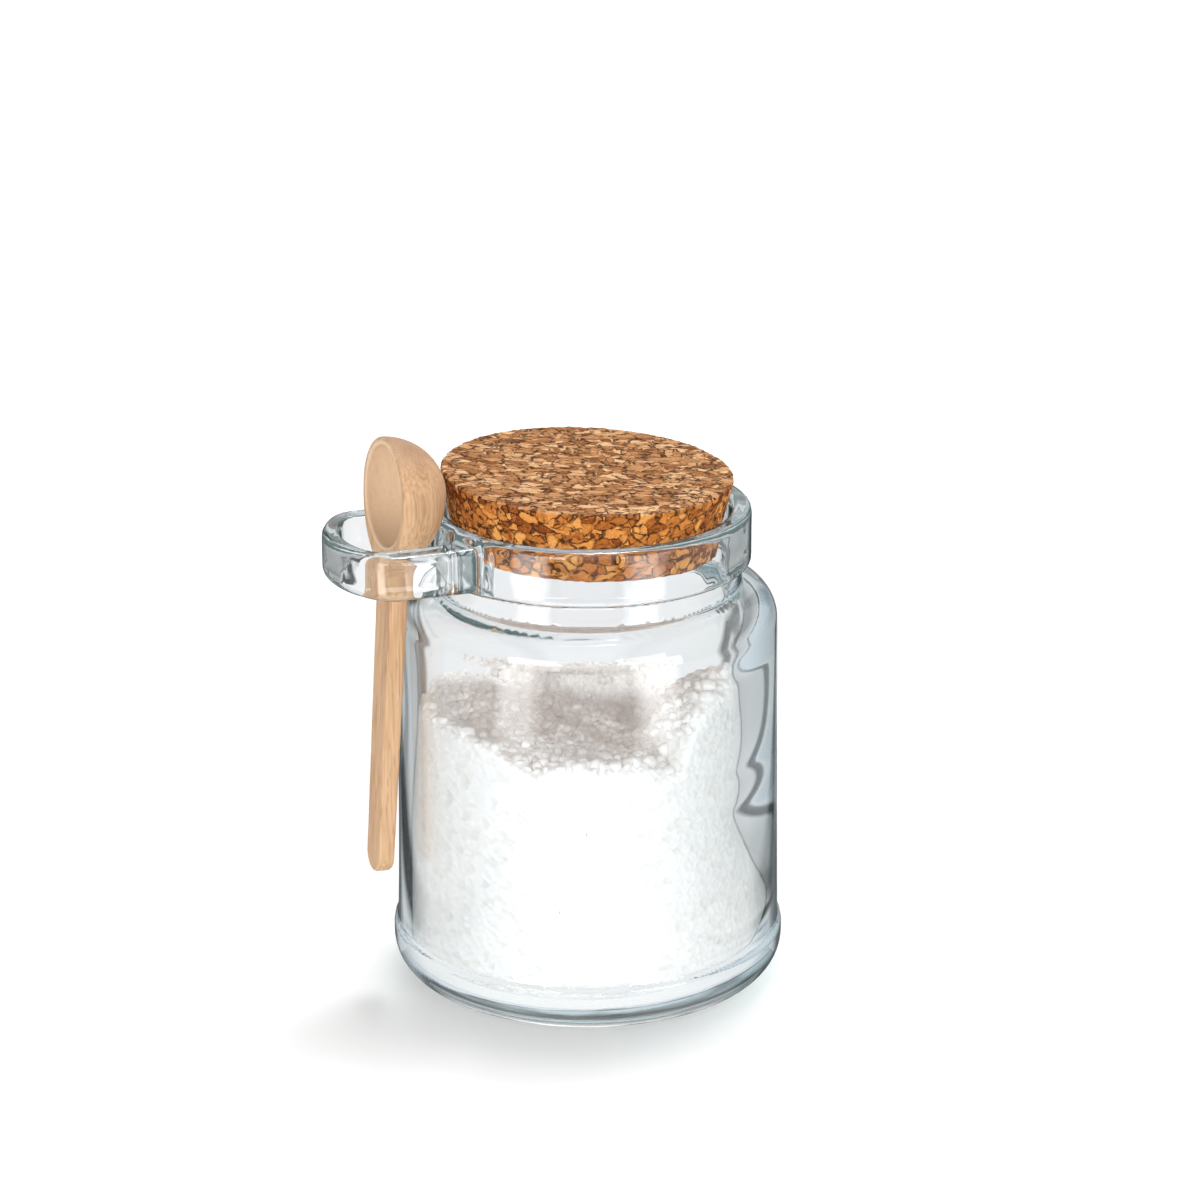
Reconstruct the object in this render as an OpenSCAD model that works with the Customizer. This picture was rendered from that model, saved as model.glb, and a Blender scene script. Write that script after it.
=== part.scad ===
// A small glass salt jar with a tapered cork stopper and a wooden spoon that hangs in a
// glass loop moulded on the collar. Millimetres, +Z up. The origin is on the jar's axis,
// on the surface that the jar stands on. The camera side is -Y.

/* [Jar body] */
// Outer diameter of the heel, the thick foot of the jar
heel_d = 78; // [70:0.5:90]
// Height at which the heel has stepped in to the body
heel_h = 10.8; // [9:0.1:14]
// Outer corner radius under the heel
heel_r = 7.5; // [5:0.5:8]
// Step from the heel in to the body, on the radius
heel_step = 0.8; // [0.4:0.1:1.4]
// How much narrower the body's radius is under the shoulder than above the heel
body_draft = 1.0; // [0:0.1:2]
// Thickness of the side wall on the left, where it is thinnest
wall = 3.4; // [2.4:0.1:4.4]
// How far the blown inside sits off the jar's axis to the left, so that the right wall is thick
cavity_shift = 1.1; // [0:0.1:1.4]
// Thickness of the base
base_t = 4; // [3:0.5:6]
// Corner radius inside, between the floor and the wall
floor_r = 5; // [3:0.5:8]
// Height from the ground to the top of the shoulder
shoulder_h = 81; // [70:1:100]
// Outer radius of the shoulder's curve
shoulder_r = 7.5; // [6:0.5:9]

/* [Neck, collar and rim] */
// Width of the shoulder, from the body's side in to the neck
shoulder_w = 7.2; // [6.8:0.1:8]
// Height of the neck between the shoulder and the collar
neck_h = 4.4; // [3:0.2:7]
// Thickness of the neck's wall
neck_wall = 2.2; // [1.8:0.1:3.2]
// Rounding of the edge under the mouth, inside the jar
throat_r = 1.5; // [1:0.1:2]
// How far the collar stands out from the neck
collar_out = 2; // [1.6:0.1:3]
// Height of the collar
collar_h = 11; // [10.5:0.5:15]
// Rounding of the rim's two edges
rim_r = 1.2; // [0.6:0.1:1.4]
// Rounding of the collar's lower edge
collar_edge_r = 0.8; // [0.4:0.1:1.2]

/* [Spoon loop] */
// How far the loop is turned from the jar's left side towards the front, in degrees
loop_angle = 20.5; // [0:0.5:45]
// How far the loop stands out from the collar
loop_out = 21; // [20:0.1:23]
// Radius of the loop's curved outer end
loop_end_r = 22.7; // [20:0.1:26]
// Width between the inner faces of the two side bars
loop_hole_w = 20.7; // [19:0.1:22]
// Thickness of the two side bars
loop_bar_t = 6.2; // [4.5:0.1:6.6]
// Thickness of the outer end
loop_end_t = 3.8; // [3:0.1:4.2]
// Height of the loop
loop_h = 9; // [7:0.5:9.5]
// How far the loop's top lies under the rim
loop_drop = 1.3; // [0.5:0.1:1.5]
// Radius of the loop's outer corners
loop_corner_r = 7; // [3:0.5:8]
// Radius of the hole's corners
loop_hole_r = 4; // [2.5:0.5:5]
// Radius of the hollow curve where each side bar meets the collar
loop_fillet_r = 3; // [1.5:0.5:4]
// How deep the loop's hole is let into the collar
loop_relief = 1.3; // [0.8:0.1:2]

/* [Cork stopper] */
// Radial clearance between the stopper and the mouth, at the rim
cork_gap = 0.6; // [0.5:0.05:0.8]
// Height of the stopper's top above the rim, at its middle
cork_rise = 6.9; // [5:0.1:12]
// Depth of the stopper in the mouth
cork_depth = 7; // [5:0.5:11]
// Taper of the stopper's side, in degrees from its axis
cork_taper = 12; // [8:0.5:13]
// Rounding of the stopper's edges
cork_edge_r = 0.6; // [0.3:0.1:1]
// How far the stopper sits askew, lower on the right, in degrees
cork_tilt_side = 2.6; // [0:0.1:3]
// How far the stopper sits askew, lower at the front, in degrees
cork_tilt_front = 0.8; // [0:0.1:2]
// How far the stopper sits off the mouth's axis, to the left
cork_offset = 0.4; // [0:0.1:0.4]

/* [Wooden spoon] */
// How much wider the spoon's bowl is than the loop's hole, on each side
bowl_overlap = 1.4; // [1:0.1:1.8]
// Height of the bowl above its widest place
bowl_top_h = 11.2; // [9:0.2:14]
// Height of the bowl below its widest place
bowl_low_h = 14.3; // [13:0.1:16]
// Distance of the bowl's opening in front of the bowl's own axis
bowl_front = 0.4; // [0.3:0.1:1]
// Wall of the bowl
bowl_wall = 1.9; // [1.5:0.1:2.6]
// Solid wood between the bowl's hollow and its lower end
bowl_heel = 4.4; // [4:0.1:6]
// Clearance between the bowl and the loop, and between the bowl and the collar
spoon_gap = 0.3; // [0.2:0.05:0.5]
// Lean of the spoon, its lower end away from the jar, in degrees
spoon_lean = 3.3; // [2.8:0.1:4.2]
// Turn of the spoon about its own axis, towards the front, in degrees
spoon_turn = 2; // [0:0.5:4]
// Length of the handle below the bowl's widest place
handle_l = 76.8; // [60:0.1:82]
// Width of the handle at the bowl
handle_w = 8.8; // [8:0.1:10.4]
// Width of the handle at its lower end
handle_tip_w = 7.2; // [6:0.1:8]
// Thickness of the handle at the bowl
handle_t = 3.9; // [3.4:0.1:4.2]
// Thickness of the handle at its lower end
handle_tip_t = 3.4; // [2.6:0.1:3.8]
// Distance of the handle's front face behind the bowl's own axis
handle_back = 0.4; // [0:0.1:0.8]

/* [Salt] */
// Height of the salt's surface on the jar's axis
salt_level = 51.5; // [40:0.5:54]
// Slope of the salt's surface, higher at the front, in degrees
salt_slope = 3.5; // [0:0.5:10]
// Slope of the salt that is banked up on the left, in degrees
bank_slope = 13; // [6:1:16]
// How far left of the jar's axis the bank starts
bank_start = 5; // [0:1:20]
// Height of the heap of salt that climbs the wall at the front right
heap_top = 66.5; // [62:0.5:70]
// Radius of that heap's round top
heap_r = 15.5; // [12:0.5:20]
// Direction of that heap, from the right towards the front, in degrees
heap_angle = 28; // [0:1:90]
// Clearance between the salt and the glass wall
salt_gap = 0.25; // [0.2:0.05:0.4]

/* [Hidden] */

// Circles are drawn with this many sides
$fn = 96;
// Straight pieces in a quarter turn of a profile, for large, middle and small curves
arc_n = 8;
corner_n = 5;
edge_n = 4;
// How far a cutter runs past what it cuts
over = 1;

// Heights of the collar's lower edge, of the rim and of the centre of the rim's rounding
neck_top = shoulder_h + neck_h;
glass_h = neck_top + collar_h;
rim_z = glass_h - rim_r;

// Radii of the body above the heel and under the shoulder, and the shoulder's centre
heel_out_r = heel_d / 2;
body_r = heel_out_r - heel_step;
shoulder_body_r = body_r - body_draft;
shoulder_x = shoulder_body_r - shoulder_r;
shoulder_z = shoulder_h - shoulder_r;
neck_r = shoulder_body_r - shoulder_w;
mouth_r = neck_r - neck_wall;
collar_r = neck_r + collar_out;
// The shoulder's curve ends at the neck, or on top where the neck stands further in
shoulder_end = neck_r > shoulder_x ? acos((neck_r - shoulder_x) / shoulder_r) : 90;

// The inside of the body, about its own axis
cavity_r = body_r - wall - cavity_shift;
cavity_top_r = shoulder_body_r - wall - cavity_shift;
floor_x = cavity_r - floor_r;
floor_z = base_t + floor_r;
cavity_corner_r = shoulder_r - wall;
cavity_corner_x = cavity_top_r - cavity_corner_r;
ceiling_z = shoulder_z + cavity_corner_r;

// The loop, drawn with its radial direction along +X
loop_hole_half = loop_hole_w / 2;
loop_half_w = loop_hole_half + loop_bar_t;
loop_top = glass_h - loop_drop;
loop_z = loop_top - loop_h;
loop_end_x = collar_r + loop_out - loop_end_r;
loop_turn = 180 + loop_angle;
relief_r = collar_r - loop_relief;

// The stopper's radius at the rim, at its top and at its lower end
cork_r = mouth_r - cork_gap;
cork_top_r = cork_r + cork_rise * tan(cork_taper);
cork_low_r = cork_r - cork_depth * tan(cork_taper);

// The bowl's radius, and the height of its widest place where its sides meet the loop's bars
bowl_r = loop_hole_half + bowl_overlap;
seat_r = loop_hole_half - spoon_gap;
spoon_z = loop_top + bowl_low_h * sqrt(1 - pow(seat_r / bowl_r, 2));
// The bowl's radius at the rim's height, and so the spoon's distance from the jar's axis
rim_drop = spoon_z - glass_h;
bowl_rim_r = bowl_r * sqrt(1 - pow(rim_drop / bowl_low_h, 2));
spoon_x = relief_r + spoon_gap + bowl_rim_r - rim_drop * tan(spoon_lean);
// The handle's top end lies this far inside the bowl's solid lower end
handle_sink = 0.5;
handle_top = bowl_heel - bowl_low_h - handle_sink;

// The salt rests on the floor inside this radius, and clears the glass outside it
salt_foot_r = floor_x - throat_r;

glass_tint = [0.80, 0.88, 0.86, 0.35];
cork_tint = [0.72, 0.49, 0.32];
wood_tint = [0.85, 0.66, 0.46];
salt_tint = [0.95, 0.95, 0.94];

// Points of an arc round [x, y], from angle a0 to angle a1
function arc(x, y, r, a0, a1, n = arc_n) =
    [for (i = [0 : n]) let (a = a0 + (a1 - a0) * i / n) [x + r * cos(a), y + r * sin(a)]];

// A half outline whose two ends lie on the X axis, closed with its mirror image
function both_sides(half) =
    concat(half, [for (i = [len(half) - 2 : -1 : 1]) [half[i][0], -half[i][1]]]);

// Where a corner circle of radius r sits that touches the bar line at half width w on the
// inside, and the loop's end curve of radius end_r on the inside
function end_corner_x(w, r, end_r) = loop_end_x + sqrt(pow(end_r - r, 2) - pow(w - r, 2));

// Profiles of the jar: radius, height
function glass_outside() = concat(
    [[0, 0]],
    arc(heel_out_r - heel_r, heel_r, heel_r, -90, 0),
    [[heel_out_r, heel_h - heel_step], [body_r, heel_h]],
    arc(shoulder_x, shoulder_z, shoulder_r, 0, shoulder_end),
    neck_r > shoulder_x ? [] : [[neck_r, shoulder_h]],
    [[neck_r, neck_top]],
    arc(collar_r - collar_edge_r, neck_top + collar_edge_r, collar_edge_r, -90, 0, edge_n),
    arc(collar_r - rim_r, rim_z, rim_r, 0, 90, edge_n),
    [[0, glass_h]]
);

function cavity_profile() = concat(
    [[0, base_t]],
    arc(floor_x, floor_z, floor_r, -90, 0),
    arc(cavity_corner_x, shoulder_z, cavity_corner_r, 0, 90),
    [[0, ceiling_z]]
);

function mouth_profile() = concat(
    [[0, ceiling_z - over], [mouth_r + throat_r, ceiling_z - over]],
    arc(mouth_r + throat_r, ceiling_z + throat_r, throat_r, 270, 180, edge_n),
    arc(mouth_r + rim_r, rim_z, rim_r, 180, 90, edge_n),
    [[mouth_r + rim_r, glass_h + over], [0, glass_h + over]]
);

// Half of the loop's outline, from the hollow curve at the collar to the middle of its end
function loop_outline_half() =
    let (
        fillet_y = loop_half_w + loop_fillet_r,
        fillet_x = sqrt(pow(collar_r + loop_fillet_r, 2) - pow(fillet_y, 2)),
        corner_x = end_corner_x(loop_half_w, loop_corner_r, loop_end_r),
        corner_y = loop_half_w - loop_corner_r,
        corner_a = atan2(corner_y, corner_x - loop_end_x)
    )
    concat(
        [[0, 0]],
        arc(fillet_x, fillet_y, loop_fillet_r, atan2(fillet_y, fillet_x) - 180, -90, corner_n),
        arc(corner_x, corner_y, loop_corner_r, 90, corner_a, corner_n),
        arc(loop_end_x, 0, loop_end_r, corner_a, 0)
    );

// Half of the hole's outline, from the collar to the middle of the loop's end
function loop_hole_half_outline() =
    let (
        corner_y = loop_hole_half - loop_hole_r,
        near_x = sqrt(pow(relief_r + loop_hole_r, 2) - pow(corner_y, 2)),
        near_a = atan2(corner_y, near_x),
        inner_end_r = loop_end_r - loop_end_t,
        far_x = end_corner_x(loop_hole_half, loop_hole_r, inner_end_r),
        far_a = atan2(corner_y, far_x - loop_end_x)
    )
    concat(
        arc(0, 0, relief_r, 0, near_a, edge_n),
        arc(near_x, corner_y, loop_hole_r, near_a + 180, 90, corner_n),
        arc(far_x, corner_y, loop_hole_r, 90, far_a, corner_n),
        arc(loop_end_x, 0, inner_end_r, far_a, 0, corner_n)
    );

// The jar with its collar and spoon loop, one piece of moulded glass
module glass_jar() {
    color(glass_tint) difference() {
        union() {
            rotate_extrude() polygon(glass_outside());
            rotate([0, 0, loop_turn]) translate([0, 0, loop_z])
                linear_extrude(height = loop_h) polygon(both_sides(loop_outline_half()));
        }
        translate([-cavity_shift, 0, 0]) rotate_extrude() polygon(cavity_profile());
        rotate_extrude() polygon(mouth_profile());
        rotate([0, 0, loop_turn]) translate([0, 0, neck_top - over])
            linear_extrude(height = collar_h + 2 * over) polygon(both_sides(loop_hole_half_outline()));
    }
}

// The tapered cork stopper, a little askew in the mouth
module cork_stopper() {
    slope = sin(cork_taper);
    color(cork_tint) translate([-cork_offset, 0, glass_h]) rotate([cork_tilt_front, cork_tilt_side, 0])
        rotate_extrude() polygon([
            [0, -cork_depth],
            [cork_low_r - cork_edge_r, -cork_depth],
            [cork_low_r + cork_edge_r * slope, -cork_depth + cork_edge_r],
            [cork_top_r - cork_edge_r * slope, cork_rise - cork_edge_r],
            [cork_top_r - cork_edge_r, cork_rise],
            [0, cork_rise]
        ]);
}

// An egg-shaped solid round +Z, widest at the origin
module egg(r, top_h, low_h) {
    rotate_extrude() polygon([
        for (i = [-2 * arc_n : 2 * arc_n]) let (a = 90 * i / (2 * arc_n))
            [r * cos(a), (a > 0 ? top_h : low_h) * sin(a)]
    ]);
}

// The handle as it lies behind the bowl: a flat bar that tapers to a rounded end
module spoon_handle() {
    tip_r = handle_tip_w / 2;
    intersection() {
        rotate([90, 0, 0]) linear_extrude(height = 2 * handle_w, center = true) polygon([
            [-handle_back, handle_top],
            [-handle_back - handle_t, handle_top],
            [-handle_back - handle_tip_t, -handle_l],
            [-handle_back, -handle_l]
        ]);
        rotate([90, 0, 90]) linear_extrude(height = 4 * handle_t, center = true) polygon(concat(
            [[handle_w / 2, handle_top], [-handle_w / 2, handle_top]],
            arc(0, tip_r - handle_l, tip_r, 180, 360)
        ));
    }
}

// The spoon in its own frame: the bowl opens along +X and the handle runs down along -Z
module spoon_shape() {
    difference() {
        union() {
            difference() {
                egg(bowl_r, bowl_top_h, bowl_low_h);
                translate([bowl_front, -bowl_r - over, -bowl_low_h - over])
                    cube([bowl_r, 2 * (bowl_r + over), bowl_low_h + bowl_top_h + 2 * over]);
            }
            spoon_handle();
        }
        egg(bowl_r - bowl_wall, bowl_top_h - bowl_wall, bowl_low_h - bowl_heel);
    }
}

// The spoon, hanging in the loop by the sides of its bowl
module wooden_spoon() {
    color(wood_tint) rotate([0, 0, loop_turn]) translate([spoon_x, 0, spoon_z])
        rotate([0, -spoon_lean, 0]) rotate([0, 0, spoon_turn]) spoon_shape();
}

// All the space under a surface of this height and slopes, wide enough for the jar
module under_slope(front_slope, left_slope) {
    rotate([-front_slope, left_slope, 0]) translate([-heel_d, -heel_d, -2 * heel_d]) cube(2 * heel_d);
}

// The salt in the jar: low in the middle, banked up on the left and heaped at the front right
module salt_fill() {
    color(salt_tint) intersection() {
        translate([-cavity_shift, 0, 0]) rotate_extrude() polygon(concat(
            [[0, base_t], [salt_foot_r, base_t]],
            arc(floor_x, floor_z, floor_r - salt_gap, -90, 0),
            [[cavity_top_r - salt_gap, shoulder_z], [0, shoulder_z]]
        ));
        union() {
            translate([0, 0, salt_level]) under_slope(salt_slope, 0);
            translate([-bank_start, 0, salt_level]) under_slope(salt_slope, bank_slope);
            translate([cavity_top_r * cos(heap_angle) - cavity_shift, -cavity_top_r * sin(heap_angle),
                heap_top - heap_r]) sphere(heap_r);
        }
    }
}

glass_jar();
cork_stopper();
wooden_spoon();
salt_fill();
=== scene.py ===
"""A glass salt jar with a cork stopper and a wooden spoon in a loop on its collar.

Every shape is a signed distance, in millimetres and in the row frame, that sculpt() turns
into a closed mesh. Lengths are millimetres up to that point and metres after it.
"""

import math

import bpy
import numpy as np
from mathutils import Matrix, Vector


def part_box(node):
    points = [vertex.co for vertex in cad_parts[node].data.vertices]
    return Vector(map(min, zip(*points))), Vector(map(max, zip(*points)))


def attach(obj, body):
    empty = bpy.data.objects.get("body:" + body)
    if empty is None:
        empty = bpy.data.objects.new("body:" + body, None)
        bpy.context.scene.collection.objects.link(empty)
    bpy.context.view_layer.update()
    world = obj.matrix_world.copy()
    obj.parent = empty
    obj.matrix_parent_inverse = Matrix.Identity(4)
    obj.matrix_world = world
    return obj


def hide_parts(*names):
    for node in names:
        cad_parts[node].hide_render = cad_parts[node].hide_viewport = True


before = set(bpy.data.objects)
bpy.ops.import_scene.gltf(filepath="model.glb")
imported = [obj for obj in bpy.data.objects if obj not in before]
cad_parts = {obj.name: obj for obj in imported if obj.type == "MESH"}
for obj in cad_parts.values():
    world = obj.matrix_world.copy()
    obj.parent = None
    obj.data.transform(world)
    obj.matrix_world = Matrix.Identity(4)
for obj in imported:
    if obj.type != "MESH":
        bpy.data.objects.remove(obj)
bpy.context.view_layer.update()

MM = 0.001
rng = np.random.default_rng(11)

# The jar's main sizes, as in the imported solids
HEEL_R = 39.0
HEEL_TOP = 10.8
HEEL_CORNER = 7.5
HEEL_STEP = 0.8
BODY_R = HEEL_R - HEEL_STEP
SHOULDER_BODY_R = BODY_R - 1.0
SHOULDER_CORNER = 7.5
SHOULDER_Z = 81.0 - SHOULDER_CORNER
SHOULDER_X = SHOULDER_BODY_R - SHOULDER_CORNER
WALL = 3.4
CAVITY_SHIFT = 1.1
BASE_T = 4.0
FLOOR_CORNER = 5.0
CEILING_Z = SHOULDER_Z + SHOULDER_CORNER - WALL
NECK_R = 30.0
MOUTH_R = 27.8
COLLAR_R = 32.0
COLLAR_H = 11.0
RIM_CORNER = 1.2
GLASS_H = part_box("glass_jar")[1].z / MM
NECK_TOP = GLASS_H - COLLAR_H

# The loop, in a frame turned so that its radial direction is +X
LOOP_TURN = math.radians(200.5)
LOOP_H = 9.0
LOOP_TOP = GLASS_H - 1.3
LOOP_MID = LOOP_TOP - LOOP_H / 2
LOOP_REACH = 53.0
LOOP_END_R = 22.7
LOOP_END_X = LOOP_REACH - LOOP_END_R
LOOP_END_T = 3.8
LOOP_HOLE_HALF = 10.35
LOOP_HALF = LOOP_HOLE_HALF + 6.2
LOOP_CORNER = 7.0
LOOP_HOLE_CORNER = 4.0
LOOP_FILLET = 3.0
RELIEF_R = COLLAR_R - 1.3


# Shapes

def arc(x, y, r, start, end, n=14):
    """Points of an arc round (x, y), from one angle to another, in degrees."""
    turns = [math.radians(start + (end - start) * i / n) for i in range(n + 1)]
    return [(x + r * math.cos(a), y + r * math.sin(a)) for a in turns]


def both_sides(half):
    """A half outline whose ends lie on the X axis, closed with its mirror image."""
    return half + [(x, -y) for x, y in half[-2:0:-1]]


def polygon_distance(px, py, outline):
    """Signed distance of points to a closed outline, negative inside."""
    nearest = np.full(px.shape, 1e9)
    inside = np.zeros(px.shape, bool)
    for (ax, ay), (bx, by) in zip(outline, outline[1:] + outline[:1]):
        ex, ey = bx - ax, by - ay
        wx, wy = px - ax, py - ay
        t = np.clip((wx * ex + wy * ey) / (ex * ex + ey * ey + 1e-12), 0, 1)
        nearest = np.minimum(nearest, (wx - ex * t) ** 2 + (wy - ey * t) ** 2)
        crosses = (ay > py) != (by > py)
        inside ^= crosses & (px < ex * wy / (ey or 1.0) + ax)
    return np.where(inside, -1, 1) * np.sqrt(nearest)


class Drawn:
    """A signed distance drawn once on a fine grid, softened a little, and read between its points."""

    STEP = 0.12
    SOFTENING = 6

    def __init__(self, draw, low, high):
        self.low = low
        xs = np.arange(low[0], high[0], self.STEP)
        ys = np.arange(low[1], high[1], self.STEP)
        grid = draw(*np.meshgrid(xs, ys, indexing="ij"))
        for _ in range(self.SOFTENING):
            grid[1:-1] = (grid[:-2] + 2 * grid[1:-1] + grid[2:]) / 4
            grid[:, 1:-1] = (grid[:, :-2] + 2 * grid[:, 1:-1] + grid[:, 2:]) / 4
        self.grid = grid

    def __call__(self, x, y):
        nx, ny = self.grid.shape
        u = np.clip((x - self.low[0]) / self.STEP, 0, nx - 1.001)
        v = np.clip((y - self.low[1]) / self.STEP, 0, ny - 1.001)
        i, j = u.astype(int), v.astype(int)
        u, v = u - i, v - j
        g = self.grid
        return (g[i, j] * (1 - u) * (1 - v) + g[i + 1, j] * u * (1 - v)
                + g[i, j + 1] * (1 - u) * v + g[i + 1, j + 1] * u * v)


def smooth_min(a, b, k):
    h = np.clip(0.5 + 0.5 * (b - a) / k, 0, 1)
    return b + (a - b) * h - k * h * (1 - h)


def smooth_max(a, b, k):
    return -smooth_min(-a, -b, k)


def smooth_step(x, low, high):
    t = np.clip((x - low) / (high - low), 0, 1)
    return t * t * (3 - 2 * t)


def turned(x, y, angle):
    """Coordinates in a frame turned by angle about Z."""
    c, s = math.cos(angle), math.sin(angle)
    return x * c + y * s, y * c - x * s


def rounded_slab(plan, z, half_h, edge):
    """An extruded plan with rounded edges, from the plan's signed distance."""
    qx, qz = plan + edge, np.abs(z) - half_h + edge
    return np.hypot(np.maximum(qx, 0), np.maximum(qz, 0)) + np.minimum(np.maximum(qx, qz), 0) - edge


# From a signed distance to a mesh

CORNERS = [(i, j, k) for i in (0, 1) for j in (0, 1) for k in (0, 1)]
EDGES = [(a, b) for a in CORNERS for b in CORNERS if a < b and sum(np.subtract(b, a)) == 1
         and min(np.subtract(b, a)) == 0]


def surface_net(values, low, step):
    """One vertex in each cell that the surface crosses, and one quad for each edge that it crosses."""
    inside = values < 0
    shape = np.array(values.shape) - 1

    def corner(array, offset):
        return array[tuple(slice(o, o + n) for o, n in zip(offset, shape))]

    count = sum(corner(inside, c).astype(np.int8) for c in CORNERS)
    cells = np.argwhere((count > 0) & (count < 8))
    number = np.full(tuple(shape), -1, np.int64)
    number[tuple(cells.T)] = np.arange(len(cells))
    total = np.zeros((len(cells), 3))
    hits = np.zeros(len(cells))
    for a, b in EDGES:
        fa = values[tuple((cells + a).T)]
        fb = values[tuple((cells + b).T)]
        crossing = (fa < 0) != (fb < 0)
        t = np.where(crossing, fa / np.where(crossing, fa - fb, 1), 0)
        total += crossing[:, None] * (np.array(a) + t[:, None] * np.subtract(b, a))
        hits += crossing
    points = np.array(low) + step * (cells + total / hits[:, None])
    quads = []
    for axis in range(3):
        along = np.eye(3, dtype=int)[axis]
        side_a, side_b = np.eye(3, dtype=int)[(axis + 1) % 3], np.eye(3, dtype=int)[(axis + 2) % 3]
        first = inside[tuple(slice(0, n) if along[i] else slice(1, n) for i, n in enumerate(shape))]
        last = inside[tuple(slice(1, n + 1) if along[i] else slice(1, n) for i, n in enumerate(shape))]
        edges = np.argwhere(first != last) + 1 - along
        ring = [edges - side_a - side_b, edges - side_b, edges, edges - side_a]
        quad = np.stack([number[tuple(r.T)] for r in ring], axis=1)
        outward = inside[tuple(edges.T)]
        quads.append(np.where(outward[:, None], quad, quad[:, ::-1]))
    return points, np.concatenate(quads)


def slope(distance, points, reach=0.15):
    """The gradient of a signed distance at points."""
    columns = []
    for axis in range(3):
        shift = np.eye(3)[axis] * reach
        columns.append(distance(*(points + shift).T) - distance(*(points - shift).T))
    return np.stack(columns, axis=1) / (2 * reach)


def spread_out(points, quads):
    """Each point moved half way to the middle of its neighbours."""
    pairs = np.concatenate([quads[:, [i, (i + 1) % 4]] for i in range(4)])
    ends = np.concatenate([pairs[:, 0], pairs[:, 1]])
    others = np.concatenate([pairs[:, 1], pairs[:, 0]])
    total = np.stack([np.bincount(ends, points[others, i], len(points)) for i in range(3)], axis=1)
    return (points + total / np.bincount(ends, minlength=len(points))[:, None]) / 2


def net_of(distance, low, high, step, passes=3):
    """Points and quads of the surface where the distance is zero."""
    axes = [np.arange(a, b + step, step) for a, b in zip(low, high)]
    values = np.empty([len(a) for a in axes], np.float32)
    for k, z in enumerate(axes[2]):
        x, y = np.meshgrid(axes[0], axes[1], indexing="ij")
        values[:, :, k] = distance(x, y, np.full(x.shape, z))
    points, quads = surface_net(values, low, step)
    for i in range(passes):
        if i:
            points = spread_out(points, quads)
        for _ in range(2):
            normal = slope(distance, points)
            size = np.maximum((normal ** 2).sum(1), 0.05)
            move = distance(*points.T) / size
            points = points - np.clip(move, -step / 2, step / 2)[:, None] * normal
    return points, quads


def make_mesh(name, points, faces, normals=None):
    """A mesh object from points in millimetres and faces that all have as many corners."""
    mesh = bpy.data.meshes.new(name)
    corners = faces.shape[1]
    mesh.vertices.add(len(points))
    mesh.vertices.foreach_set("co", (points * MM).astype(np.float32).ravel())
    mesh.loops.add(faces.size)
    mesh.loops.foreach_set("vertex_index", faces.astype(np.int32).ravel())
    mesh.polygons.add(len(faces))
    mesh.polygons.foreach_set("loop_start", np.arange(0, faces.size, corners, dtype=np.int32))
    mesh.update(calc_edges=True)
    mesh.validate()
    if normals is not None:
        mesh.shade_smooth()
        mesh.normals_split_custom_set_from_vertices(normals.astype(np.float32))
    made = bpy.data.objects.new(name, mesh)
    bpy.context.scene.collection.objects.link(made)
    return made


def sculpt(name, distance, low, high, step):
    """A closed, smooth mesh of a signed distance."""
    points, quads = net_of(distance, low, high, step)
    normal = slope(distance, points)
    normal /= np.linalg.norm(normal, axis=1)[:, None] + 1e-9
    return make_mesh(name, points, quads, normal)


# The jar

def jar_outside():
    rise = math.degrees(math.acos((NECK_R - SHOULDER_X) / SHOULDER_CORNER))
    return (
        [(-5, 0)]
        + arc(HEEL_R - HEEL_CORNER, HEEL_CORNER, HEEL_CORNER, -90, 0)
        + [(HEEL_R, HEEL_TOP - HEEL_STEP), (BODY_R, HEEL_TOP)]
        + arc(SHOULDER_X, SHOULDER_Z, SHOULDER_CORNER, 0, rise)
        + [(NECK_R, NECK_TOP)]
        + arc(COLLAR_R - 0.8, NECK_TOP + 0.8, 0.8, -90, 0, 6)
        + arc(COLLAR_R - RIM_CORNER, GLASS_H - RIM_CORNER, RIM_CORNER, 0, 90, 8)
        + [(-5, GLASS_H)]
    )


def cavity():
    """The inside of the body, about its own axis."""
    low_r, top_r, corner = BODY_R - WALL - CAVITY_SHIFT, SHOULDER_BODY_R - WALL - CAVITY_SHIFT, SHOULDER_CORNER - WALL
    return (
        [(-5, BASE_T)]
        + arc(low_r - FLOOR_CORNER, BASE_T + FLOOR_CORNER, FLOOR_CORNER, -90, 0)
        + arc(top_r - corner, SHOULDER_Z, corner, 0, 90)
        + [(-5, CEILING_Z)]
    )


def mouth():
    return (
        [(-5, CEILING_Z - 1), (MOUTH_R + 1.5, CEILING_Z - 1)]
        + arc(MOUTH_R + 1.5, CEILING_Z + 1.5, 1.5, 270, 180, 8)
        + arc(MOUTH_R + RIM_CORNER, GLASS_H - RIM_CORNER, RIM_CORNER, 180, 90, 8)
        + [(MOUTH_R + RIM_CORNER, GLASS_H + 4), (-5, GLASS_H + 4)]
    )


def corner_x(half, r, end_r):
    """Where a corner circle sits that touches the bar's side and the loop's end from inside."""
    return LOOP_END_X + math.sqrt((end_r - r) ** 2 - (half - r) ** 2)


def loop_outline():
    fillet_y = LOOP_HALF + LOOP_FILLET
    fillet_x = math.sqrt((COLLAR_R + LOOP_FILLET) ** 2 - fillet_y ** 2)
    x, y = corner_x(LOOP_HALF, LOOP_CORNER, LOOP_END_R), LOOP_HALF - LOOP_CORNER
    end = math.degrees(math.atan2(y, x - LOOP_END_X))
    start = math.degrees(math.atan2(fillet_y, fillet_x)) - 180
    return both_sides(
        [(0, 0)]
        + arc(fillet_x, fillet_y, LOOP_FILLET, start, -90)
        + arc(x, y, LOOP_CORNER, 90, end)
        + arc(LOOP_END_X, 0, LOOP_END_R, end, 0)
    )


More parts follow.
